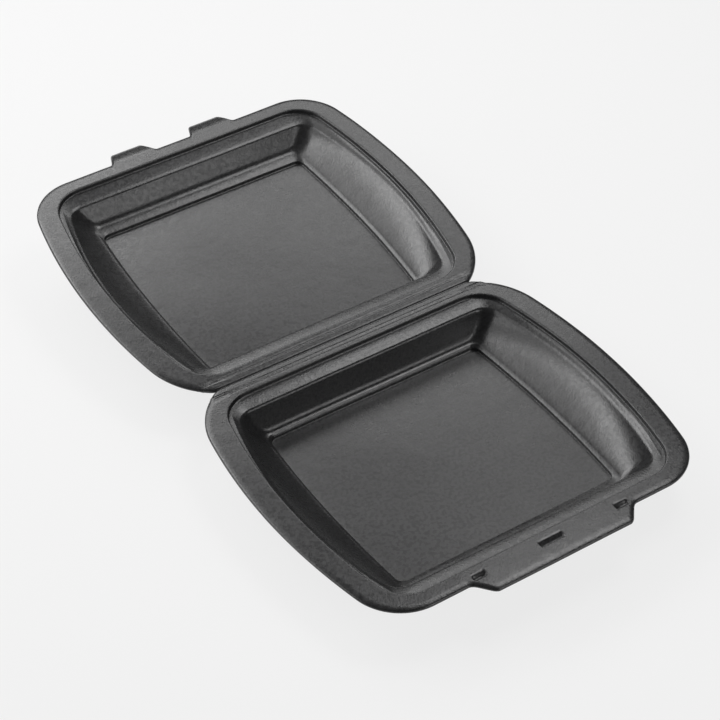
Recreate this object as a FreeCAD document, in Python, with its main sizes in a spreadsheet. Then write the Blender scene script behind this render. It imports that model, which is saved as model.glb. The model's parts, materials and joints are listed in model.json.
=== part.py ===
import FreeCAD, Part
import math
import os

import Sketcher

# A one-piece foam meal box with a hinged lid, opened almost flat.
# The hinge line is the X axis at the level where the two rims meet. The base tray reaches towards -Y and
# stands on Z = 0, the lid reaches towards +Y. Each half is drawn in a frame of its own: origin on the hinge
# line, front rim towards +Y, hollow below the rim.

SIZES = [
    ("box_width", 240.0, "width over the bowed sides"),
    ("box_depth", 205.0, "hinge line to front edge of the rim"),
    ("foam", 2.6, "thickness of the foam sheet"),
    ("rim_step", 3.0, "drop from the rim to the inner ledge"),
    ("tray_depth", 22.5, "rim to the ledge round the base's floor"),
    ("lid_depth", 18.5, "rim to the ledge round the lid's floor"),
    ("floor_step", 3.0, "drop from that ledge to the floor panel"),
    ("closing_gap", 0.3, "gap between the two rims when the box is shut"),
    ("lid_rise", 5.0, "angle by which the open lid stands above flat, in degrees"),
    ("side_bow", 15.5, "sagitta of the outer side edges"),
    ("front_corner", 33.0, "outer corner radius at the front"),
    ("hinge_corner", 50.0, "outer corner radius at the hinge"),
    ("hinge_overrun", 7.0, "how far the full outline runs past the hinge line"),
    ("rim_front", 10.5, "flat rim width at the front"),
    ("rim_hinge", 10.5, "flat rim width at the hinge"),
    ("rim_side", 15.0, "flat rim width at the middle of a side"),
    ("rim_bow", 12.0, "sagitta of the inner edge of the rim"),
    ("rim_corner", 22.0, "corner radius of the inner edge of the rim"),
    ("ledge_end", 10.0, "ledge width at the front and at the hinge"),
    ("ledge_side", 2.0, "ledge width at the middle of a side"),
    ("ledge_bow", 15.0, "sagitta of the ledge's inner edge"),
    ("ledge_corner", 12.0, "corner radius of the ledge's inner edge"),
    ("belly_share", 0.5, "share of the walls' height above their middle section"),
    ("belly_front", 4.6, "how far the front wall has come in there"),
    ("belly_hinge", 3.0, "how far the hinge wall has come in there"),
    ("belly_side", 8.5, "how far the side walls have come in there"),
    ("belly_bow", 9.5, "sagitta of the sides there"),
    ("belly_corner", 10.0, "corner radius there"),
    ("foot_front", 10.0, "how far the front wall has come in at its foot"),
    ("foot_hinge", 6.5, "how far the hinge wall has come in at its foot"),
    ("foot_side", 22.0, "how far the side walls have come in at their foot"),
    ("foot_bow", 3.2, "sagitta of the sides at the foot"),
    ("foot_corner", 8.0, "corner radius at the foot"),
    ("floor_front", 8.0, "width of the ledge between the floor panel and the front wall"),
    ("floor_hinge", 3.5, "width of that ledge at the hinge wall"),
    ("floor_side", 4.0, "width of that ledge at the side walls"),
    ("floor_corner", 5.0, "corner radius of the floor panel"),
    ("tab_place", 29.0, "middle of each lid tab from the middle of the front"),
    ("tab_root", 32.0, "lid tab width at the rim"),
    ("tab_tip", 22.0, "lid tab width at its end"),
    ("tab_reach", 11.5, "how far a lid tab stands out of the rim"),
    ("tab_seat", 2.5, "how far the tabs and the lip start inside the rim's edge"),
    ("lip_root", 110.0, "base lip width at the rim"),
    ("lip_tip", 92.0, "base lip width at its end"),
    ("lip_reach", 10.9, "how far the base lip stands out of the rim"),
    ("lip_dent_depth", 1.2, "depth of the dents pressed into the lip"),
    ("lip_dent_width", 3.6, "width of those dents"),
    ("lip_dent_middle", 15.0, "length of the middle dent"),
    ("lip_dent_side", 8.0, "length of each outer dent"),
    ("lip_dent_place", 48.0, "middle of each outer dent from the middle of the lip"),
    ("lip_dent_back", 2.5, "middle of the dents from the rim's edge, inwards"),
    ("strip_width", 4.0, "width of the pressed hinge strip"),
    ("strip_foam", 1.0, "thickness of the hinge strip"),
    ("strip_drop", 0.7, "how far the strip lies below the rim"),
    ("strip_inset", 2.0, "how far the strip stops short of the corners"),
]

HALF_TURN = math.pi


def make_sheet(doc):
    sheet = doc.addObject("Spreadsheet::Sheet", "sizes")
    for row, (alias, size, meaning) in enumerate(SIZES, start=1):
        sheet.set(f"A{row}", alias)
        sheet.set(f"B{row}", str(size))
        sheet.set(f"C{row}", meaning)
        sheet.setAlias(f"B{row}", alias)
    doc.recompute()
    return sheet


def with_sheet(expression):
    """Put the sheet's name before every size that the expression uses."""
    words = expression.replace("(", " ( ").replace(")", " ) ").split()
    aliases = {alias for alias, size, meaning in SIZES}
    return " ".join(f"sizes.{word}" if word in aliases else word for word in words)


def bind(thing, prop, expression):
    thing.setExpression(prop, with_sheet(expression))


def number(sheet, expression):
    return float(sheet.evalExpression(with_sheet(expression)))


RIM_TOP = "- closing_gap / 2"

# The plan curves of a half, from the rim's outer edge inwards. Each holds the half width at the middle of the
# sides, the sagitta of the sides, the back and front edge and the two corner radii.
OUTER = ("box_width / 2", "side_bow", "- hinge_overrun", "box_depth", "hinge_corner", "front_corner")
RIM_INNER = (
    "box_width / 2 - rim_side", "rim_bow", "rim_hinge", "box_depth - rim_front", "rim_corner", "rim_corner")
LEDGE_INNER = (
    "box_width / 2 - rim_side - ledge_side", "ledge_bow", "rim_hinge + ledge_end",
    "box_depth - rim_front - ledge_end", "ledge_corner", "ledge_corner")


def wall_curve(level_name):
    """The ledge's inner edge moved in as the walls slope, with a bow and corners of its own."""
    width, old_bow, back, front, old_back_corner, old_front_corner = LEDGE_INNER
    side, hinge, end = (f"{level_name}_{place}" for place in ("side", "hinge", "front"))
    bow, corner = (f"{level_name}_{feature}" for feature in ("bow", "corner"))
    return (f"{width} - {side}", bow, f"{back} + {hinge}", f"{front} - {end}", corner, corner)


def grown(curve, distance):
    """The same curve, a distance further out all round."""
    width, bow, back, front, back_corner, front_corner = curve
    return (
        f"{width} + {distance}", bow, f"{back} - {distance}", f"{front} + {distance}",
        f"{back_corner} + {distance}", f"{front_corner} + {distance}")


BELLY = wall_curve("belly")
FOOT = wall_curve("foot")
FLOOR = (
    f"{FOOT[0]} - floor_side", "foot_bow", f"{FOOT[2]} + floor_hinge", f"{FOOT[3]} - floor_front", "floor_corner",
    "floor_corner")


def new_sketch(body, name, level):
    """A sketch on the body's own XY plane, lifted to a level."""
    sketch = body.newObject("Sketcher::SketchObject", name)
    plane = next(item for item in body.Origin.OriginFeatures if item.Role == "XY_Plane")
    sketch.AttachmentSupport = [(plane, "")]
    sketch.MapMode = "FlatFace"
    bind(sketch, "AttachmentOffset.Base.z", level)
    return sketch


def dimension(sketch, name, kind, *arguments, expression):
    """Add a constraint with a size and tie the size to the sheet."""
    index = sketch.addConstraint(Sketcher.Constraint(kind, *arguments))
    sketch.renameConstraint(index, name)
    bind(sketch, f"Constraints.{name}", expression)


def rounded_outline(sheet, body, name, curve, level):
    """Draw a rounded rectangle with bowed sides, anticlockwise from the right side."""
    width, bow, back, front, back_corner, front_corner = curve
    radius = f"( ( ( {front} ) - ( {back} ) ) ^ 2 / ( 8 * ( {bow} ) ) + ( {bow} ) / 2 )"
    centre_offset = f"{radius} - ( {width} )"
    middle = f"( ( {front} ) + ( {back} ) ) / 2"
    side_r, offset, y_middle = (number(sheet, text) for text in (radius, centre_offset, middle))
    y_back, y_front, back_r, front_r = (
        number(sheet, text) for text in (back, front, back_corner, front_corner))

    def corner_centre(y_centre, r):
        across = math.sqrt((side_r - r) ** 2 - (y_centre - y_middle) ** 2)
        return across - offset, y_centre, math.atan2(y_centre - y_middle, across)

    x_front, yc_front, angle_front = corner_centre(y_front - front_r, front_r)
    x_back, yc_back, angle_back = corner_centre(y_back + back_r, back_r)

    def arc(x, y, r, start, end):
        circle = Part.Circle(FreeCAD.Vector(x, y, 0), FreeCAD.Vector(0, 0, 1), r)
        return Part.ArcOfCircle(circle, start, end)

    sketch = new_sketch(body, name, level)
    right_side, front_right, front_line, front_left, left_side, back_left, back_line, back_right = (
        sketch.addGeometry(item, False) for item in (
            arc(-offset, y_middle, side_r, angle_back, angle_front),
            arc(x_front, yc_front, front_r, angle_front, HALF_TURN / 2),
            Part.LineSegment(FreeCAD.Vector(x_front, y_front, 0), FreeCAD.Vector(-x_front, y_front, 0)),
            arc(-x_front, yc_front, front_r, HALF_TURN / 2, HALF_TURN - angle_front),
            arc(offset, y_middle, side_r, HALF_TURN - angle_front, HALF_TURN - angle_back),
            arc(-x_back, yc_back, back_r, HALF_TURN - angle_back, HALF_TURN * 3 / 2),
            Part.LineSegment(FreeCAD.Vector(-x_back, y_back, 0), FreeCAD.Vector(x_back, y_back, 0)),
            arc(x_back, yc_back, back_r, HALF_TURN * 3 / 2, HALF_TURN * 2 + angle_back)))
    loop = (right_side, front_right, front_line, front_left, left_side, back_left, back_line, back_right)
    for this, following in zip(loop, loop[1:] + loop[:1]):
        sketch.addConstraint(Sketcher.Constraint("Tangent", this, 2, following, 1))
    sketch.addConstraint(Sketcher.Constraint("Horizontal", front_line))
    sketch.addConstraint(Sketcher.Constraint("Horizontal", back_line))
    for first, second in ((right_side, left_side), (front_right, front_left), (back_right, back_left)):
        sketch.addConstraint(Sketcher.Constraint("Equal", first, second))
    dimension(sketch, "side_radius", "Radius", right_side, side_r, expression=radius)
    dimension(sketch, "front_radius", "Radius", front_right, front_r, expression=front_corner)
    dimension(sketch, "back_radius", "Radius", back_right, back_r, expression=back_corner)
    dimension(sketch, "right_centre_x", "DistanceX", right_side, 3, -1, 1, offset, expression=centre_offset)
    dimension(sketch, "left_centre_x", "DistanceX", -1, 1, left_side, 3, offset, expression=centre_offset)
    dimension(sketch, "right_centre_y", "DistanceY", -1, 1, right_side, 3, y_middle, expression=middle)
    dimension(sketch, "left_centre_y", "DistanceY", -1, 1, left_side, 3, y_middle, expression=middle)
    dimension(sketch, "front_edge", "DistanceY", -1, 1, front_line, 1, y_front, expression=front)
    if y_back < 0:
        dimension(sketch, "back_edge", "DistanceY", back_line, 1, -1, 1, -y_back, expression=f"0 - ( {back} )")
    else:
        dimension(sketch, "back_edge", "DistanceY", -1, 1, back_line, 1, y_back, expression=back)
    return sketch


def trapezoid(sheet, body, name, level, x_middle, root, tip, y_root, y_tip):
    """Draw a tab that narrows from its root width to its tip width."""
    middle, root_width, tip_width, root_y, tip_y = (
        number(sheet, text) for text in (x_middle, root, tip, y_root, y_tip))
    corners = [
        FreeCAD.Vector(middle - root_width / 2, root_y, 0), FreeCAD.Vector(middle + root_width / 2, root_y, 0),
        FreeCAD.Vector(middle + tip_width / 2, tip_y, 0), FreeCAD.Vector(middle - tip_width / 2, tip_y, 0)]
    sketch = new_sketch(body, name, level)
    lines = [
        sketch.addGeometry(Part.LineSegment(start, end), False)
        for start, end in zip(corners, corners[1:] + corners[:1])]
    for this, following in zip(lines, lines[1:] + lines[:1]):
        sketch.addConstraint(Sketcher.Constraint("Coincident", this, 2, following, 1))
    root_line, right_line, tip_line, left_line = lines
    sketch.addConstraint(Sketcher.Constraint("Horizontal", root_line))
    sketch.addConstraint(Sketcher.Constraint("Horizontal", tip_line))
    dimension(sketch, "root_width", "DistanceX", root_line, 1, root_line, 2, root_width, expression=root)
    dimension(sketch, "tip_width", "DistanceX", tip_line, 2, tip_line, 1, tip_width, expression=tip)
    dimension(sketch, "root_place", "DistanceY", -1, 1, root_line, 1, root_y, expression=y_root)
    dimension(sketch, "tip_place", "DistanceY", -1, 1, tip_line, 1, tip_y, expression=y_tip)
    edges = (("root", root_line, 1, root), ("tip", tip_line, 2, tip))
    for label, line, point, width in edges:
        left_edge = f"( {x_middle} ) - ( {width} ) / 2"
        distance = number(sheet, left_edge)
        if distance < 0:
            dimension(
                sketch, f"{label}_left", "DistanceX", line, point, -1, 1, -distance,
                expression=f"0 - ( {left_edge} )")
        else:
            dimension(sketch, f"{label}_left", "DistanceX", -1, 1, line, point, distance, expression=left_edge)
    return sketch


def pad_down(body, name, sketch, length):
    pad = body.newObject("PartDesign::Pad", name)
    pad.Profile = sketch
    pad.Reversed = True
    bind(pad, "Length", length)
    return pad


def pocket_down(body, name, sketch, length):
    pocket = body.newObject("PartDesign::Pocket", name)
    pocket.Profile = sketch
    bind(pocket, "Length", length)
    return pocket


def loft(body, kind, name, sections):
    feature = body.newObject(f"PartDesign::{kind}", name)
    feature.Profile = sections[0]
    feature.Sections = sections[1:]
    feature.Ruled = False
    return feature


def half_shell(doc, sheet, label, depth):
    """One half of the box: a tray of a given depth with a stepped rim, in its own frame."""
    body = doc.addObject("PartDesign::Body", label)
    body.Label = label
    ledge_level = f"{RIM_TOP} - rim_step"
    belly_level = f"{ledge_level} - ( {depth} - rim_step ) * belly_share"
    foot_level = f"{RIM_TOP} - {depth}"

    pad_down(body, "rim", rounded_outline(sheet, body, "rim_outline", OUTER, RIM_TOP), "foam")
    step_outline = rounded_outline(sheet, body, "step_outline", grown(RIM_INNER, "foam"), RIM_TOP)
    pad_down(body, "step", step_outline, "rim_step + foam")
    outer_sections = [
        rounded_outline(sheet, body, "wall_top_outside", grown(LEDGE_INNER, "foam"), ledge_level),
        rounded_outline(sheet, body, "wall_belly_outside", grown(BELLY, "foam"), belly_level),
        rounded_outline(sheet, body, "wall_foot_outside", grown(FOOT, "foam"), f"{foot_level} - foam")]
    loft(body, "AdditiveLoft", "walls", outer_sections)
    floor_outside = rounded_outline(sheet, body, "floor_outside", grown(FLOOR, "foam"), foot_level)
    pad_down(body, "floor_panel", floor_outside, "floor_step + foam")

    rim_opening = rounded_outline(sheet, body, "rim_opening", RIM_INNER, RIM_TOP)
    pocket_down(body, "rim_recess", rim_opening, "rim_step")
    inner_sections = [
        rounded_outline(sheet, body, "wall_top_inside", LEDGE_INNER, ledge_level),
        rounded_outline(sheet, body, "wall_belly_inside", BELLY, belly_level),
        rounded_outline(sheet, body, "wall_foot_inside", FOOT, foot_level)]
    loft(body, "SubtractiveLoft", "hollow", inner_sections)
    floor_inside = rounded_outline(sheet, body, "floor_inside", FLOOR, foot_level)
    pocket_down(body, "floor_recess", floor_inside, "floor_step")

    hinge_edge = trapezoid(
        sheet, body, "past_the_hinge", "foam", "0", "box_width", "box_width",
        "0 - hinge_overrun - foam", "strip_width / 2")
    pocket_down(body, "hinge_cut", hinge_edge, depth)
    return body


def add_lid_tabs(sheet, body):
    """Two flat tabs at the front of the lid, one each side of the middle."""
    for side, sign in (("right", "1"), ("left", "( 0 - 1 )")):
        outline = trapezoid(
            sheet, body, f"{side}_tab_outline", RIM_TOP, f"{sign} * tab_place", "tab_root", "tab_tip",
            "box_depth - tab_seat", "box_depth + tab_reach")
        pad_down(body, f"{side}_tab", outline, "foam")


def add_base_lip(sheet, body):
    """The wide lip at the front of the base, with three dents along the rim's edge."""
    outline = trapezoid(
        sheet, body, "lip_outline", RIM_TOP, "0", "lip_root", "lip_tip",
        "box_depth - tab_seat", "box_depth + lip_reach")
    pad_down(body, "lip", outline, "foam")
    dents = (
        ("middle", "0", "lip_dent_middle"), ("right", "lip_dent_place", "lip_dent_side"),
        ("left", "0 - lip_dent_place", "lip_dent_side"))
    for side, place, length in dents:
        dent = trapezoid(
            sheet, body, f"{side}_dent_outline", RIM_TOP, place, length, length,
            "box_depth - lip_dent_back - lip_dent_width / 2", "box_depth - lip_dent_back + lip_dent_width / 2")
        pocket_down(body, f"{side}_dent", dent, "lip_dent_depth")


def make_hinge_strip(doc, sheet):
    """The thin pressed strip of foam that the lid bends about."""
    body = doc.addObject("PartDesign::Body", "hinge_strip")
    body.Label = "hinge_strip"
    corner_across = "( hinge_corner ^ 2 - ( hinge_corner - hinge_overrun ) ^ 2 ) ^ 0.5"
    side_radius = "( ( box_depth + hinge_overrun ) ^ 2 / ( 8 * side_bow ) + side_bow / 2 )"
    corner_y = "( ( box_depth + hinge_overrun ) / 2 - hinge_corner )"
    corner_x = f"( ( {side_radius} - hinge_corner ) ^ 2 - {corner_y} ^ 2 ) ^ 0.5"
    length = f"2 * ( {corner_x} - {side_radius} + box_width / 2 + {corner_across} - strip_inset )"
    outline = trapezoid(
        sheet, body, "strip_outline", f"{RIM_TOP} - strip_drop", "0", length, length,
        "0 - strip_width / 2", "strip_width / 2")
    pad_down(body, "strip", outline, "strip_foam")
    return body


def place(body, axis, angle):
    """Stand a piece on its hinge line, turned about an axis by an angle in degrees."""
    body.Placement = FreeCAD.Placement(FreeCAD.Vector(0, 0, 1), FreeCAD.Rotation(axis, 1))
    bind(body, "Placement.Base.z", "tray_depth + floor_step + foam + closing_gap / 2")
    bind(body, "Placement.Rotation.Angle", angle)


def check(doc, bodies):
    for item in doc.Objects:
        faults = {"Invalid", "Error"} & set(item.State)
        if faults:
            raise RuntimeError(f"{item.Name} is {faults}")
    for body in bodies:
        shape = body.Shape
        if shape.isNull() or not shape.isValid() or len(shape.Solids) != 1:
            raise RuntimeError(f"{body.Label} has no single valid solid")


def main():
    doc = FreeCAD.newDocument("foam_box")
    sheet = make_sheet(doc)
    base_tray = half_shell(doc, sheet, "base_tray", "tray_depth")
    add_base_lip(sheet, base_tray)
    place(base_tray, FreeCAD.Vector(0, 0, 1), "180")
    lid = half_shell(doc, sheet, "lid", "lid_depth")
    add_lid_tabs(sheet, lid)
    place(lid, FreeCAD.Vector(1, 0, 0), "lid_rise")
    hinge_strip = make_hinge_strip(doc, sheet)
    place(hinge_strip, FreeCAD.Vector(0, 0, 1), "0")
    doc.recompute()
    bodies = [base_tray, lid, hinge_strip]
    check(doc, bodies)
    os.makedirs("parts", exist_ok=True)
    for body in bodies:
        body.Shape.exportStep(f"parts/{body.Label}.step")
        box = body.Shape.BoundBox
        print(
            f"{body.Label}: {body.Shape.Volume / 1000:.1f} cm3, "
            f"x {box.XMin:.2f} to {box.XMax:.2f}, y {box.YMin:.2f} to {box.YMax:.2f}, "
            f"z {box.ZMin:.2f} to {box.ZMax:.2f}")


main()
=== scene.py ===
import json
import math
from collections import namedtuple

import bpy
import numpy as np
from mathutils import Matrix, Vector, noise


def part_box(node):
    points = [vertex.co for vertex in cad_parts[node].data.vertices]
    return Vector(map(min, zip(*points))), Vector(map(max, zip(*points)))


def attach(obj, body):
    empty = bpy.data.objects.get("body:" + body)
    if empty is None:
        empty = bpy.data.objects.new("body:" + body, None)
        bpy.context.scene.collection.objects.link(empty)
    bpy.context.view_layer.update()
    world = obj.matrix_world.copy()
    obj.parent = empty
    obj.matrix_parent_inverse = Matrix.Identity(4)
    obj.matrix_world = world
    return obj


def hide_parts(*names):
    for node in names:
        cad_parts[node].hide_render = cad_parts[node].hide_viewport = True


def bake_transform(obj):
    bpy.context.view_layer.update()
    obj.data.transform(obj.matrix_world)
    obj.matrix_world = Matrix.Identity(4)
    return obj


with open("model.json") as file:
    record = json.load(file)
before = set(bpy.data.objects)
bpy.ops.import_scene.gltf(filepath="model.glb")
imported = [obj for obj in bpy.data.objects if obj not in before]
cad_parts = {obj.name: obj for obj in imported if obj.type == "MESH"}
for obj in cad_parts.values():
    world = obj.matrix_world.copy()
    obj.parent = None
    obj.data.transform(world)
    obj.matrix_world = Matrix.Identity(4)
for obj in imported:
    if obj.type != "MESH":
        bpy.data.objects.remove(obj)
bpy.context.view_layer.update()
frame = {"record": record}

# A thin foam meal box with a hinged lid, opened almost flat. Each half is drawn in millimetres in a frame of its
# own, as in the CAD model: origin on the hinge line, front towards +Y, the rim's top a little below Z = 0.
MM = 0.001
HINGE = Vector(frame["record"]["behaviour"]["joints"][0]["pos_m"]) / MM
WIDTH = (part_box("base_tray")[1][0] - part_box("base_tray")[0][0]) / MM
RIM_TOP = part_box("base_tray")[1][2] / MM - HINGE.z
DEPTH = 205.0
FOAM = 2.6
RIM_STEP = 3.0
TRAY_DEPTH = 22.5
LID_DEPTH = 18.5
FLOOR_STEP = 3.0
LID_RISE = math.radians(5.0)
NEAR = 0.001

# Outlines seen from above, for the right half of a mirrored shape: half the width, how far the side bows out, the
# places of the back and front lines, and the radii of their corners.
Plan = namedtuple("Plan", "width bow back front back_corner front_corner")


def walled(plan, side, hinge, front, bow, corner):
    """A plan moved in as the walls slope."""
    return Plan(plan.width - side, bow, plan.back + hinge, plan.front - front, corner, corner)


OUTER = Plan(WIDTH / 2, 15.5, -7.0, DEPTH, 50.0, 33.0)
RIM_INNER = Plan(WIDTH / 2 - 15.0, 12.0, 10.5, DEPTH - 10.5, 22.0, 22.0)
LEDGE_INNER = Plan(RIM_INNER.width - 2.0, 15.0, 20.5, DEPTH - 20.5, 12.0, 12.0)
BELLY = walled(LEDGE_INNER, 8.5, 3.0, 4.6, 9.5, 10.0)
FOOT = walled(LEDGE_INNER, 22.0, 6.5, 10.0, 3.2, 8.0)
FLOOR = walled(FOOT, 4.0, 3.5, 8.0, 3.2, 5.0)

# The profile's corners: radii where the sheet bulges and where it is hollow, seen from the side that is drawn.
BULGE_RADIUS, HOLLOW_RADIUS = 1.1, 0.8
# The ledge slopes to the wall. Each step: how far out from the wall's top, how much further at the front and the
# hinge, and how far below the ledge.
LEDGE_SLOPE = ((1.2, 6.9, 0.03), (1.2, 6.3, 0.12), (0.3, 0.4, 1.2), (0.0, 0.0, 1.45))
# The wall, in shares of its height: the belly's place and where the bends above and below it end.
BELLY_SHARE, WALL_START, WALL_END, WALL_RINGS = 0.5, 0.14, 0.72, 9
# The shelf round the floor panel slopes from above its level to below it. The bend at its foot is wide.
SHELF_HIGH, SHELF_LOW = 1.3, 0.7
FOOT_STRETCH, FOOT_SINK, FOOT_WIDTH, FOOT_SHARE, FOOT_RINGS = 0.6, 0.2, 2.4, 0.6, 10
SHELF_RADIUS, SHELF_SHARE, FLOOR_RADIUS = 0.4, 0.2, 0.5

# The cut edge is rounded, and the rim rolls down towards it.
EDGE_RADIUS, ROLL_WIDTH, ROLL_DROP = 0.8, 4.0, 0.8
# The lid's two tabs, which curl down, and the base's lip: widths at root and tip, and how far they stand out.
TAB_PLACE, TAB_ROOT, TAB_TIP, TAB_REACH = 29.0, 32.0, 22.0, 11.5
LIP_ROOT, LIP_TIP, LIP_REACH = 110.0, 92.0, 10.9
TAB_SOFTNESS, RAMPS, TAB_CURL, CURL_POWER = 0.22, 9, 3.0, 1.5

# Troughs in the rim by the lip: place and length of each.
DENT_LONG, DENT_SHORT, DENT_SIDE = 15.0, 8.0, 48.0
DENTS = ((0.0, DENT_LONG), (DENT_SIDE, DENT_SHORT), (-DENT_SIDE, DENT_SHORT))
DENT_DEPTH, DENT_WIDTH, DENT_BACK, DENT_END = 1.7, 5.0, 2.5, 1.6

# The hinge: where the halves end, half the width of the pressed crease, and the score line on each side of it.
SEAM, CREASE = 4.0, 2.0
PRESS_WIDTH, PRESS_DEPTH = 0.75, 0.75
SCORE_PLACE, SCORE_WIDTH, SCORE_DEPTH, SCORE_BELOW = 6.0, 0.8, 0.55, 0.3

# The foam's unevenness: length and height of the slow and the quick waves, and how far from the hinge they set in.
SLOW_LENGTH, SLOW_HEIGHT = 55.0, 0.30
QUICK_LENGTH, QUICK_HEIGHT, QUICK_SHIFT = 9.0, 0.05, Vector((3.0, 7.0, 1.0))
UNEVEN_START = 12.0
BASE_SEED, LID_SEED = 11.0, 47.0

# How finely the outline is divided. The front's points crowd at the corners of tabs, lip and dents.
BACK_POINTS, CORNER_POINTS, SIDE_POINTS, FRONT_POINTS = 44, 22, 56, 120
FINE_PLACES, CROWD_REACH, CROWD_WEIGHT = 4000, 2.5, 5.0
LIP_PLACES = (
    LIP_ROOT / 2, LIP_TIP / 2, DENT_SIDE - DENT_SHORT / 2, DENT_SIDE + DENT_SHORT / 2, DENT_LONG / 2)
TAB_PLACES = tuple(TAB_PLACE + sign * width / 2 for sign in (-1, 1) for width in (TAB_ROOT, TAB_TIP))
# How finely the floors, the bends, the rim, its cut edge and the fold are divided.
FLOOR_SHARES = (0.05, 0.2, 0.4, 0.6, 0.8, 0.94)
UNDERSIDE_SHARES = (0.94, 0.6, 0.2, 0.05)
BEND_RINGS, RIM_RINGS = 5, 17
EDGE_SHARES = (0.0, 0.06, 0.12, 0.18, 0.24, 0.3, 0.34, 0.38, 0.42, 0.46, 0.5, 0.55, 0.6, 0.7, 0.8, 0.9, 1.0)
UPPER_ROUND_STEPS, LOWER_ROUND_STEPS = 5, 4
FOLD_ROWS, FOLD_COLUMNS, FOLD_MARGIN, FOLD_SIDE_POINTS = 21, 121, 0.6, 4
SHARP_ANGLE = math.radians(40)


def grown(plan, distance):
    """The same plan, a distance further out all round."""
    return Plan(
        plan.width + distance, plan.bow, plan.back - distance, plan.front + distance,
        plan.back_corner + distance, plan.front_corner + distance)


def stretched(plan, distance):
    """The same plan, a distance further out at its back and front only."""
    return plan._replace(back=plan.back - distance, front=plan.front + distance)


def side_radius(plan):
    """The radius of a plan's bowed side."""
    return (plan.front - plan.back) ** 2 / (8 * plan.bow) + plan.bow / 2


def spread(start, end, count, crowded):
    """Places from start to end, closer together near the crowded ones."""
    fine = np.linspace(start, end, FINE_PLACES)
    density = np.ones_like(fine)
    for place in crowded:
        density += CROWD_WEIGHT * np.exp(-((np.abs(fine) - place) / CROWD_REACH) ** 2)
    total = np.concatenate(([0.0], np.cumsum((density[1:] + density[:-1]) / 2)))
    return np.interp(np.linspace(0, total[-1], count), total, fine)


def cut_share():
    """Which share of the outer back corner's arc lies behind the seam."""
    side_r = side_radius(OUTER)
    middle = (OUTER.front + OUTER.back) / 2
    centre = OUTER.back + OUTER.back_corner
    across = math.sqrt((side_r - OUTER.back_corner) ** 2 - (centre - middle) ** 2)
    end = math.atan2(centre - middle, across)
    crossing = math.asin((SEAM - centre) / OUTER.back_corner)
    return (crossing + math.pi / 2) / (end + math.pi / 2)


CUT_SHARE = cut_share()


def outline(plan, crowded=()):
    """The plan's points, anticlockwise from the middle of the back. Half of a back corner's points lie behind
    the share of its arc where the outer plan meets the seam."""
    side_r = side_radius(plan)
    middle = (plan.front + plan.back) / 2
    offset = side_r - plan.width

    def corner(y_centre, r):
        across = math.sqrt((side_r - r) ** 2 - (y_centre - middle) ** 2)
        return across - offset, math.atan2(y_centre - middle, across)

    back_y = plan.back + plan.back_corner
    front_y = plan.front - plan.front_corner
    back_x, back_angle = corner(back_y, plan.back_corner)
    front_x, front_angle = corner(front_y, plan.front_corner)
    back_line = np.linspace(0, back_x, BACK_POINTS, endpoint=False)
    half_corner = CORNER_POINTS // 2
    shares = np.concatenate((
        np.linspace(0, CUT_SHARE, half_corner, endpoint=False),
        np.linspace(CUT_SHARE, 1, half_corner, endpoint=False)))
    back_arc = -math.pi / 2 + shares * (back_angle + math.pi / 2)
    side_arc = np.linspace(back_angle, front_angle, SIDE_POINTS, endpoint=False)
    front_arc = np.linspace(front_angle, math.pi / 2, CORNER_POINTS, endpoint=False)
    front_line = spread(front_x, 0, FRONT_POINTS, crowded)
    x = np.concatenate((
        back_line, back_x + plan.back_corner * np.cos(back_arc), side_r * np.cos(side_arc) - offset,
        front_x + plan.front_corner * np.cos(front_arc), front_line))
    y = np.concatenate((
        np.full(BACK_POINTS, plan.back), back_y + plan.back_corner * np.sin(back_arc),
        middle + side_r * np.sin(side_arc), front_y + plan.front_corner * np.sin(front_arc),
        np.full(FRONT_POINTS, plan.front)))
    right = np.column_stack((x, y))
    left = right[-2:0:-1] * (-1, 1)
    return np.concatenate((right, left))


def softened(share, radius):
    """A ramp from 0 to 1 with rounded ends, the mean of some shifted ramps."""
    shifts = np.linspace(-radius, radius, RAMPS)
    return np.mean([np.clip(share + shift, 0, 1) for shift in shifts], axis=0)


def tab(x, place, root, tip, reach):
    """How far a tab's edge stands out of the rim at x."""
    share = (root / 2 - np.abs(x - place)) / ((root - tip) / 2)
    return reach * softened(share, TAB_SOFTNESS)


def lid_tabs(x):
    return tab(x, TAB_PLACE, TAB_ROOT, TAB_TIP, TAB_REACH) + tab(x, -TAB_PLACE, TAB_ROOT, TAB_TIP, TAB_REACH)


def base_lip(x):
    return tab(x, 0.0, LIP_ROOT, LIP_TIP, LIP_REACH)


def outward(points):
    """Unit normals of a closed outline, pointing out."""
    along = np.roll(points, -1, axis=0) - np.roll(points, 1, axis=0)
    normal = np.column_stack((along[:, 1], -along[:, 0]))
    return normal / np.linalg.norm(normal, axis=1)[:, None]


def edge_outline(tabs, crowded):
    """The half's cut edge: the outer plan with its tabs, ended at the seam by the hinge."""
    points = outline(OUTER, crowded)
    front = points[:, 1] > OUTER.front - NEAR
    points[front, 1] += tabs(points[front, 0])
    points[:, 1] = np.maximum(points[:, 1], SEAM)
    return points


def inset(points, distance):
    """The cut edge moved in, but not along the seam."""
    moved = points - outward(points) * distance
    at_seam = points[:, 1] <= SEAM + NEAR
    moved[at_seam, 1] = SEAM
    return moved


def rolled(distance):
    """How far the rim's top has turned down at a distance from its cut edge."""
    return ROLL_DROP * np.maximum(0.0, 1 - distance / ROLL_WIDTH) ** 2


def upper_round():
    """Steps round the cut edge's upper corner: how far in from the edge and down from the rim's top."""
    steps = []
    for angle in np.linspace(0, math.pi / 2, UPPER_ROUND_STEPS):
        inwards = EDGE_RADIUS * (1 - math.sin(angle))
        steps.append((inwards, float(rolled(inwards)) + EDGE_RADIUS * (1 - math.cos(angle))))
    return steps


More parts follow.
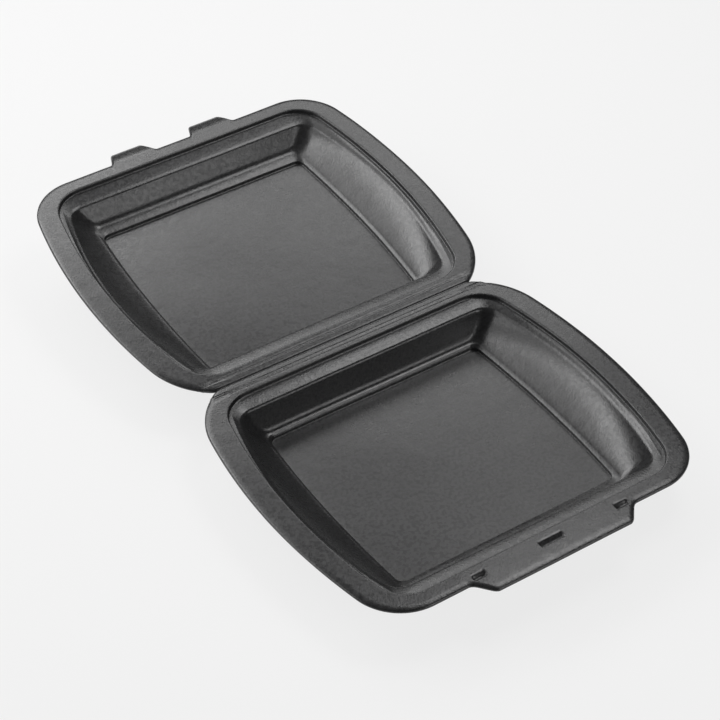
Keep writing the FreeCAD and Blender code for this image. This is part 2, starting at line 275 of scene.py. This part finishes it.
def lower_round(count):
    """Steps round the cut edge's lower corner, from the edge to the underside."""
    return [(EDGE_RADIUS * (1 - math.cos(angle)), FOAM - EDGE_RADIUS * (1 - math.sin(angle)))
            for angle in np.linspace(0, math.pi / 2, count)]


def wall(share):
    """The plan of the wall, from the ledge at 0 to the foot at 1, through the belly."""
    top = (share - BELLY_SHARE) * (share - 1) / BELLY_SHARE
    middle = share * (share - 1) / (BELLY_SHARE * (BELLY_SHARE - 1))
    foot = share * (share - BELLY_SHARE) / (1 - BELLY_SHARE)
    return Plan(*(top * a + middle * b + foot * c for a, b, c in zip(LEDGE_INNER, BELLY, FOOT)))


def bend(before, corner, after, count=BEND_RINGS):
    """Steps that round a corner of the profile, from before it to after it. A step is a plan and its depth."""
    steps = []
    for t in np.linspace(0, 1, count):
        shares = ((1 - t) ** 2, 2 * t * (1 - t), t ** 2)
        plan = Plan(*(float(np.dot(shares, sizes)) for sizes in zip(before[0], corner[0], after[0])))
        steps.append((plan, float(np.dot(shares, (before[1], corner[1], after[1])))))
    return steps


class Shell:
    """Rings of points over one half, from the middle of its floor out over the edge and back underneath."""

    def __init__(self, depth, tabs, crowded):
        self.depth = depth
        self.crowded = crowded
        self.edge = edge_outline(tabs, crowded)
        self.rings = []
        self.top_rings = 0

    def add(self, points, level):
        self.rings.append(np.column_stack((points, np.broadcast_to(level, len(points)))))

    def side(self, below):
        """The steps of one side from the rim in to the floor, then the floor's own outline and depth."""
        t = FOAM if below else 0.0
        over, under = (HOLLOW_RADIUS, BULGE_RADIUS) if below else (BULGE_RADIUS, HOLLOW_RADIUS)
        rim, ledge, foot, floor = (grown(plan, t) for plan in (RIM_INNER, LEDGE_INNER, FOOT, FLOOR))
        ledge_level, foot_level = RIM_STEP + t, self.depth - SHELF_HIGH + t
        shelf_level, floor_level = self.depth + SHELF_LOW + t, self.depth + FLOOR_STEP + t
        half_drop = (shelf_level - foot_level) / 2

        def on_ledge(out, further, down):
            return stretched(grown(ledge, out), further), ledge_level + down

        def on_wall(share):
            return grown(wall(share), t), ledge_level + share * (foot_level - ledge_level)

        steps = bend((grown(rim, over), t), (rim, t), (rim, t + over))
        steps += bend((rim, ledge_level - under), (rim, ledge_level), (grown(rim, -under), ledge_level))

        slope_top, slope_start, slope_end, brink = (on_ledge(*step) for step in LEDGE_SLOPE)
        steps += [slope_top, slope_start]
        steps += bend(slope_end, brink, on_wall(WALL_START))
        steps += [on_wall(share) for share in np.linspace(WALL_START, WALL_END, WALL_RINGS)[1:-1]]

        foot_corner = (stretched(foot, FOOT_STRETCH), foot_level + FOOT_SINK)
        shelf_start = (grown(foot, -FOOT_WIDTH), foot_level + FOOT_SHARE * half_drop)
        shelf_end = (grown(floor, SHELF_RADIUS), shelf_level - SHELF_SHARE * half_drop)
        steps += bend(on_wall(WALL_END), foot_corner, shelf_start, FOOT_RINGS)
        steps += bend(shelf_end, (floor, shelf_level), (floor, shelf_level + SHELF_RADIUS))

        floor_edge = grown(floor, -under)
        steps += bend((floor, floor_level - FLOOR_RADIUS), (floor, floor_level), (floor_edge, floor_level))
        return steps, outline(floor_edge, self.crowded), floor_level

    def build(self):
        """Adds all rings. Returns the floor's middle and the depths of its top and underside."""
        top, floor_top, top_level = self.side(False)
        bottom, floor_bottom, bottom_level = self.side(True)
        middle = np.array((0.0, (FOOT.back + FOOT.front) / 2))
        for share in FLOOR_SHARES:
            self.add(middle + (floor_top - middle) * share, -top_level)
        for plan, depth in reversed(top):
            self.add(outline(plan, self.crowded), -depth)

        rim_top = self.rings[-1][:, :2]
        plain = outline(grown(OUTER, -DENT_BACK - DENT_WIDTH), self.crowded)
        plain[:, 1] = np.maximum(plain[:, 1], SEAM)
        lip = inset(self.edge, EDGE_RADIUS)
        reach = np.linalg.norm(lip - plain, axis=1)
        for share in np.linspace(0, 1, RIM_RINGS)[1:-1]:
            self.add(rim_top + (plain - rim_top) * share, 0.0)
        for share in EDGE_SHARES:
            self.add(plain + (lip - plain) * share, -rolled(reach * (1 - share) + EDGE_RADIUS))
        for inwards, down in upper_round()[1:]:
            self.add(inset(self.edge, inwards), -down)
        self.top_rings = len(self.rings)

        for inwards, down in lower_round(LOWER_ROUND_STEPS):
            self.add(inset(self.edge, inwards), -down)
        self.add(inset(self.edge, DENT_BACK), -FOAM)
        for plan, depth in bottom:
            self.add(outline(plan, self.crowded), -depth)
        for share in UNDERSIDE_SHARES:
            self.add(middle + (floor_bottom - middle) * share, -bottom_level)
        return middle, top_level, bottom_level


def unevenness(point, seed):
    """Slow waves and small swellings of a formed foam sheet. They fade out at the seam."""
    place = Vector((point[0], point[1], seed))
    slow = noise.noise(place / SLOW_LENGTH)
    quick = noise.noise(place / QUICK_LENGTH + QUICK_SHIFT)
    fade = min(1.0, max(0.0, (point[1] - SEAM) / UNEVEN_START))
    return (SLOW_HEIGHT * slow + QUICK_HEIGHT * quick) * fade


def smooth(share):
    """A share from 0 to 1 with a gentle start and end."""
    return share * share * (3 - 2 * share)


def dent(x, y, place, length):
    """How deep a trough by the lip is at a place."""
    across = np.clip((length / 2 - np.abs(x - place)) / DENT_END + 0.5, 0, 1)
    along = np.clip(np.abs(y - (DEPTH - DENT_BACK)) / (DENT_WIDTH / 2), 0, 1)
    return DENT_DEPTH * smooth(across) * np.cos(along * math.pi / 2) ** 2


def press(x, y, top, dents, curl):
    """How far the top or the underside of a half is pressed down at a place."""
    score = np.exp(-((y - SCORE_PLACE) / SCORE_WIDTH) ** 2)
    curled = curl * np.maximum(0.0, (y - DEPTH) / TAB_REACH) ** CURL_POWER
    if not top:
        return curled - SCORE_BELOW * SCORE_DEPTH * score
    down = curled + SCORE_DEPTH * score
    for place, length in dents:
        down += dent(x, y, place, length)
    return down


def bands(rings, count, flipped=False):
    """Faces between neighbouring rings of count points each."""
    faces = []
    for ring in range(rings - 1):
        for i in range(count):
            a, b = ring * count + i, ring * count + (i + 1) % count
            faces.append((a, b, b + count, a + count) if flipped else (a, a + count, b + count, b))
    return faces


def make_mesh(name, vertices, faces):
    mesh = bpy.data.meshes.new(name)
    mesh.from_pydata([tuple(v) for v in vertices], [], faces)
    mesh.validate()
    for polygon in mesh.polygons:
        polygon.use_smooth = True
    mesh.set_sharp_from_angle(angle=SHARP_ANGLE)
    piece = bpy.data.objects.new(name, mesh)
    bpy.context.scene.collection.objects.link(piece)
    return piece


def half(name, depth, tabs, crowded, dents, curl, seed, to_row):
    """One half of the box as a closed mesh, moved to the row frame by to_row."""
    shell = Shell(depth, tabs, crowded)
    middle, top_level, bottom_level = shell.build()
    for number, ring in enumerate(shell.rings):
        ring[:, 2] -= press(ring[:, 0], ring[:, 1], number < shell.top_rings, dents, curl)
    points = np.concatenate((*shell.rings, [(*middle, -top_level), (*middle, -bottom_level)]))
    count, top_middle, bottom_middle = len(shell.edge), len(points) - 2, len(points) - 1
    last = (len(shell.rings) - 1) * count
    faces = bands(len(shell.rings), count)
    for i in range(count):
        j = (i + 1) % count
        faces.append((top_middle, i, j))
        faces.append((bottom_middle, last + j, last + i))
    for point in points:
        point[2] += unevenness(point, seed)
    points[:, 2] += RIM_TOP
    return make_mesh(name, [to_row(Vector(point)) for point in points], faces)


def turned(point, angle):
    """A point of the hinge's frame turned about the hinge line and moved to the row frame, in metres."""
    y = point.y * math.cos(angle) - point.z * math.sin(angle)
    z = point.y * math.sin(angle) + point.z * math.cos(angle)
    return (Vector((point.x, y, z)) + HINGE) * MM


def base_place(point):
    return (Vector((-point.x, -point.y, point.z)) + HINGE) * MM


def lid_place(point):
    return turned(point, LID_RISE)


def hinge_fold():
    """The stretch of sheet between the halves, pressed thin along the crease."""
    rows = (-SEAM, -SEAM + FOLD_MARGIN, *np.linspace(-CREASE, CREASE, FOLD_ROWS), SEAM - FOLD_MARGIN, SEAM)
    columns = np.linspace(-1, 1, FOLD_COLUMNS)
    corner = outline(OUTER)[BACK_POINTS:BACK_POINTS + CORNER_POINTS + FOLD_SIDE_POINTS]
    rounds = upper_round()[1:] + lower_round(UPPER_ROUND_STEPS)[:-1]
    vertices = []
    for y in rows:
        end = float(np.interp(abs(y), corner[:, 1], corner[:, 0]))
        pressed = math.exp(-(y / PRESS_WIDTH) ** 2)
        top, bottom = -PRESS_DEPTH * pressed, -FOAM + PRESS_DEPTH * pressed
        thin = (top - bottom) / FOAM
        flat = columns * (end - EDGE_RADIUS)
        section = [(x, top - float(rolled(end - abs(x))) * thin) for x in flat]
        section += [(end - inwards, top - down * thin) for inwards, down in rounds]
        section += [(x, bottom) for x in flat[::-1]]
        section += [(inwards - end, top - down * thin) for inwards, down in rounds[::-1]]
        turn = LID_RISE * smooth(min(1.0, max(0.0, (y + CREASE) / (2 * CREASE))))
        vertices += [turned(Vector((x, y, z + RIM_TOP)), turn) for x, z in section]
    count = len(section)
    faces = bands(len(rows), count, flipped=True)
    faces.append(tuple(range(count))[::-1])
    faces.append(tuple(range((len(rows) - 1) * count, len(rows) * count)))
    return make_mesh("hinge_fold", vertices, faces)


# Foam looks: base colours, scale and detail of the noises, scale of the cells, how far they change the colour and
# roughness, and the bumps as strength and distance in metres.
# The lid's base colour is a touch lighter than the tray's. This is painted light: lid and tray are the same foam
# sheet, and the lid is coloured lighter to show it brighter.
TRAY_SHADE, LID_SHADE_PAINTED_LIGHTER = (0.022, 0.022, 0.0225), (0.024, 0.024, 0.0245)
MOTTLE, GRAIN, SWELL, CELL_SCALE = (38.0, 3.0), (420.0, 2.0), (160.0, 2.0), 900.0
MOTTLE_RANGE, GRAIN_RANGE, ROUGHNESS_RANGE = (0.88, 1.12), (0.9, 1.1), (0.23, 0.33)
NOISE_LOW, NOISE_HIGH = 0.3, 0.7
CELL_BUMP, SWELL_BUMP = (0.18, 0.00025), (0.07, 0.0012)


def foam_material(name, shade):
    """Black foam with a thin closed skin: fine cells, faint mottling and a satin sheen."""
    material = bpy.data.materials.new(name)
    material.use_nodes = True
    nodes, links = material.node_tree.nodes, material.node_tree.links
    shader = nodes["Principled BSDF"]
    place = nodes.new("ShaderNodeTexCoord")

    def noise_node(scale, detail):
        node = nodes.new("ShaderNodeTexNoise")
        node.inputs["Scale"].default_value = scale
        node.inputs["Detail"].default_value = detail
        links.new(place.outputs["Object"], node.inputs["Vector"])
        return node.outputs["Fac"]

    def ramp(source, limits):
        node = nodes.new("ShaderNodeMapRange")
        node.inputs["From Min"].default_value = NOISE_LOW
        node.inputs["From Max"].default_value = NOISE_HIGH
        node.inputs["To Min"].default_value, node.inputs["To Max"].default_value = limits
        links.new(source, node.inputs["Value"])
        return node.outputs["Result"]

    def bump(height, size):
        node = nodes.new("ShaderNodeBump")
        node.inputs["Strength"].default_value, node.inputs["Distance"].default_value = size
        links.new(height, node.inputs["Height"])
        return node

    mottle, grain = noise_node(*MOTTLE), noise_node(*GRAIN)
    cells = nodes.new("ShaderNodeTexVoronoi")
    cells.inputs["Scale"].default_value = CELL_SCALE
    links.new(place.outputs["Object"], cells.inputs["Vector"])

    lift = nodes.new("ShaderNodeMath")
    lift.operation = "MULTIPLY"
    links.new(ramp(mottle, MOTTLE_RANGE), lift.inputs[0])
    links.new(ramp(grain, GRAIN_RANGE), lift.inputs[1])
    colour = nodes.new("ShaderNodeVectorMath")
    colour.operation = "SCALE"
    colour.inputs[0].default_value = shade
    links.new(lift.outputs["Value"], colour.inputs["Scale"])
    links.new(colour.outputs["Vector"], shader.inputs["Base Color"])

    links.new(ramp(grain, ROUGHNESS_RANGE), shader.inputs["Roughness"])

    fine = bump(cells.outputs["Distance"], CELL_BUMP)
    coarse = bump(noise_node(*SWELL), SWELL_BUMP)
    links.new(fine.outputs["Normal"], coarse.inputs["Normal"])
    links.new(coarse.outputs["Normal"], shader.inputs["Normal"])
    return material


def add_pieces():
    """The two halves and the fold between them, each in its slot; the two halves each on its body."""
    base = half("base_shell", TRAY_DEPTH, base_lip, LIP_PLACES, DENTS, 0.0, BASE_SEED, base_place)
    lid = half("lid_shell", LID_DEPTH, lid_tabs, TAB_PLACES, (), TAB_CURL, LID_SEED, lid_place)
    fold = hinge_fold()
    # The lid's colour holds painted light: it is a touch lighter than the tray's and the fold's.
    for piece, slot, shade in (
            (base, "tray_foam", TRAY_SHADE), (lid, "lid_foam", LID_SHADE_PAINTED_LIGHTER), (fold, "pressed_foam", TRAY_SHADE)):
        piece.data.materials.append(foam_material(slot, shade))
    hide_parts("base_tray")
    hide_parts("lid")
    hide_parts("hinge_strip")
    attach(base, "base")
    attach(lid, "lid")
    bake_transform(fold)


# Soft boxes on a dome round the box: azimuth from +Y towards +X, height angle and power in watts. Black foam shows
# little but what it mirrors, so most of them stand behind, where the photograph's highlights need them.
DOME_RADIUS, DOME_MIDDLE = 0.9, Vector((0.0, 0.0, 0.03))
SOFT_BOX_WIDTH, SOFT_BOX_HEIGHT = 0.5, 0.3
SOFT_BOXES = (
    (-70.0, 12.0, 1.7), (-70.0, 36.0, 0.9), (-35.0, 36.0, 3.4), (0.0, 36.0, 2.1), (35.0, 36.0, 1.45),
    (-15.0, 52.0, 0.9), (80.0, 62.0, 2.9), (160.0, 22.0, 1.7))

# The floor glows evenly, which gives the pale ground without a lamp that the foam would mirror. The surround is seen
# by the camera and is almost dark for the foam.
GROUND_REACH, GROUND_SHADE, GROUND_GLOW, GROUND_ROUGHNESS, GROUND_SPECULAR = 12.0, 0.1, 0.79, 0.9, 0.1
SURROUND_MIRRORED, SURROUND_SEEN = 0.02, 0.85


def soft_box(azimuth, height, power):
    """A lamp on the dome that faces its middle."""
    light = bpy.data.lights.new("soft_box", "AREA")
    light.shape = "RECTANGLE"
    light.size, light.size_y = SOFT_BOX_WIDTH, SOFT_BOX_HEIGHT
    light.energy = power
    lamp = bpy.data.objects.new("soft_box", light)
    turn, tilt = math.radians(azimuth), math.radians(height)
    way = Vector((math.sin(turn) * math.cos(tilt), math.cos(turn) * math.cos(tilt), math.sin(tilt)))
    lamp.location = DOME_MIDDLE + way * DOME_RADIUS
    lamp.rotation_euler = (-way).to_track_quat("-Z", "Y").to_euler()
    lamp.visible_camera = False
    bpy.context.scene.collection.objects.link(lamp)


def add_floor():
    mesh = bpy.data.meshes.new("floor")
    corners = [(x * GROUND_REACH, y * GROUND_REACH, 0) for x, y in ((-1, -1), (1, -1), (1, 1), (-1, 1))]
    mesh.from_pydata(corners, [], [(0, 1, 2, 3)])
    floor = bpy.data.objects.new("floor", mesh)
    bpy.context.scene.collection.objects.link(floor)
    material = bpy.data.materials.new("floor_paint")
    material.use_nodes = True
    shader = material.node_tree.nodes["Principled BSDF"]
    shader.inputs["Base Color"].default_value = (GROUND_SHADE, GROUND_SHADE, GROUND_SHADE, 1)
    shader.inputs["Emission Color"].default_value = (1, 1, 1, 1)
    shader.inputs["Emission Strength"].default_value = GROUND_GLOW
    shader.inputs["Roughness"].default_value = GROUND_ROUGHNESS
    shader.inputs["Specular IOR Level"].default_value = GROUND_SPECULAR
    mesh.materials.append(material)


def add_surround():
    world = bpy.data.worlds.new("surround")
    world.use_nodes = True
    nodes, links = world.node_tree.nodes, world.node_tree.links
    surround = nodes["Background"]
    surround.inputs["Color"].default_value = (1, 1, 1, 1)
    path = nodes.new("ShaderNodeLightPath")
    level = nodes.new("ShaderNodeMapRange")
    level.inputs["To Min"].default_value = SURROUND_MIRRORED
    level.inputs["To Max"].default_value = SURROUND_SEEN
    links.new(path.outputs["Is Camera Ray"], level.inputs["Value"])
    links.new(level.outputs["Result"], surround.inputs["Strength"])
    bpy.context.scene.world = world


# The camera, fitted to the outline of the photograph, in metres and pixels. The sensor is in millimetres.
VIEW_AZIMUTH = math.radians(-33.62)
VIEW_ELEVATION = math.radians(41.72)
VIEW_DISTANCE = 1.28398
VIEW_TARGET = Vector((-0.00587, -0.0242, 0.0281))
FOCAL_PIXELS = 2179.68
PHOTO_WIDTH = 720
SENSOR_WIDTH = 36.0
CLIP_NEAR, CLIP_FAR = 0.05, 50.0


def add_camera():
    scene = bpy.context.scene
    camera = bpy.data.cameras.new("camera")
    camera.sensor_width = SENSOR_WIDTH
    camera.lens = camera.sensor_width * FOCAL_PIXELS / PHOTO_WIDTH
    camera.clip_start, camera.clip_end = CLIP_NEAR, CLIP_FAR
    back = Vector((
        math.sin(VIEW_AZIMUTH) * math.cos(VIEW_ELEVATION), -math.cos(VIEW_AZIMUTH) * math.cos(VIEW_ELEVATION),
        math.sin(VIEW_ELEVATION)))
    eye = bpy.data.objects.new("camera", camera)
    eye.location = VIEW_TARGET + back * VIEW_DISTANCE
    eye.rotation_euler = (-back).to_track_quat("-Z", "Y").to_euler()
    scene.collection.objects.link(eye)
    scene.camera = eye


add_pieces()
bpy.context.scene.view_settings.view_transform = "Standard"
add_floor()
add_surround()
for azimuth, height, power in SOFT_BOXES:
    soft_box(azimuth, height, power)
add_camera()
